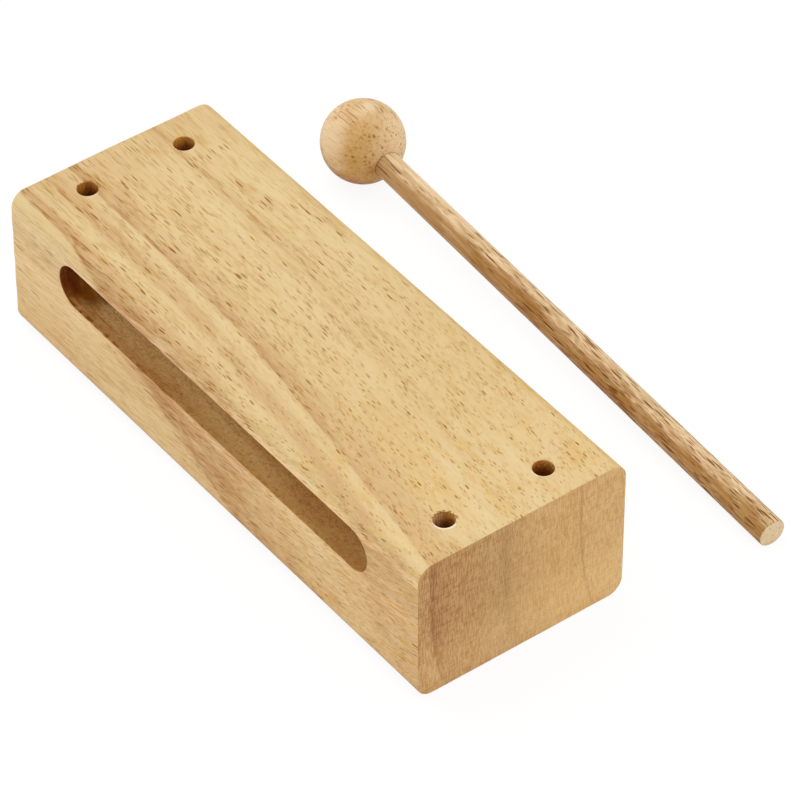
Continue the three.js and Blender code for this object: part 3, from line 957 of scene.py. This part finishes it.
crowd_share = fade(tree, reach, 35.0, 110.0, 0.12, 1.0)
wide_pores = pores(tree, grain_place, 9.0, 0.8, 0.34, crowd_share)
thin_pores = pores(tree, grain_place, 6.0, 0.5, 0.36, crowd_share)
seat_lines = fade(tree, grain_noise(tree, grain_place, (40, 0.7, 0.7), 1.0), 0.54, 0.64)
seat_lines = product(tree, seat_lines, fade(tree, reach, 21.0, 15.0, 0.0, 0.65))
pore_share = calc(tree, "MAXIMUM", wide_pores, product(tree, thin_pores, 0.7))
pore_share = calc(tree, "MAXIMUM", pore_share, seat_lines)
pore_share = calc(tree, "MINIMUM", product(tree, pore_share, 1.8), 1.0)
colour = tinted(tree, pore_share, colour, streak_tint)
end_share = placed(tree, end_grain, {"Normal": facing, "Grain": stick_grain})["End"]
end_speckle = grain_noise(tree, grain_place, (4, 0.35, 0.6))
sawn_end = blend(tree, fade(tree, end_speckle, 0.45, 0.65, 0.0, 0.6), sawn_end_wood, pink_stick_wood)
colour = blend(tree, end_share, colour, sawn_end)
roughness = calc(tree, "MULTIPLY_ADD", pore_share, 0.4, 0.46)
height = calc(tree, "SUBTRACT", product(tree, streak, 0.5), pore_share)
finish_wood(stick, stick_wood, colour, roughness, height, 0.4)

# The floor and the light.
# A pale sheet lies under the object, in a bright room, with one broad lamp high on the left.
floor_size = 6.0
paper_colour = (0.88, 0.88, 0.88, 1)
paper_glow = 1.06
glow_share = 0.85
daylight_strength = 0.76
backdrop_strength = 1.0
lamp_size = 1.2
lamp_power = 9
lamp_distance = 2.0

bpy.ops.mesh.primitive_plane_add(size=floor_size, location=(0, 0, 0))
floor = bpy.context.object
floor.name = "floor"


def seen_directly(tree):
    """1 where a camera, mirror or glass ray arrives, and 0 where light does."""
    ray = node(tree, "LightPath").outputs
    seen = calc(tree, "MAXIMUM", ray["Is Camera Ray"], ray["Is Glossy Ray"])
    return calc(tree, "MAXIMUM", seen, ray["Is Transmission Ray"])


floor_paper = bpy.data.materials.new("floor_paper")
floor_paper.use_nodes = True
tree = floor_paper.node_tree
paper = tree.nodes["Principled BSDF"]
feed(tree, paper, {"Base Color": paper_colour, "Roughness": 1.0, "Specular IOR Level": 0.0})
glow = node(tree, "Emission", {"Color": white, "Strength": paper_glow})
lift = product(tree, seen_directly(tree), glow_share)
mix = node(tree, "MixShader", {0: lift, 1: paper.outputs[0], 2: glow.outputs[0]})
feed(tree, tree.nodes["Material Output"], {"Surface": mix.outputs[0]})
floor.data.materials.append(floor_paper)

room = bpy.data.worlds.new("room")
room.use_nodes = True
scene.world = room
tree = room.node_tree
daylight = tree.nodes["Background"]
feed(tree, daylight, {"Color": white, "Strength": daylight_strength})
backdrop = node(tree, "Background", {"Color": white, "Strength": backdrop_strength})
mix = node(tree, "MixShader", {
    0: seen_directly(tree), 1: daylight.outputs[0], 2: backdrop.outputs[0]})
feed(tree, tree.nodes["World Output"], {"Surface": mix.outputs[0]})

lamp = bpy.data.objects.new("window_lamp", bpy.data.lights.new("window_lamp", "AREA"))
scene.collection.objects.link(lamp)
lamp.data.shape = "DISK"
lamp.data.size = lamp_size
lamp.data.energy = lamp_power
lamp_direction = Vector((-0.42, -0.14, 0.89)).normalized()
lamp.location = lamp_direction * lamp_distance
lamp.rotation_euler = lamp_direction.to_track_quat("Z", "Y").to_euler()

scene.view_settings.view_transform = "Standard"
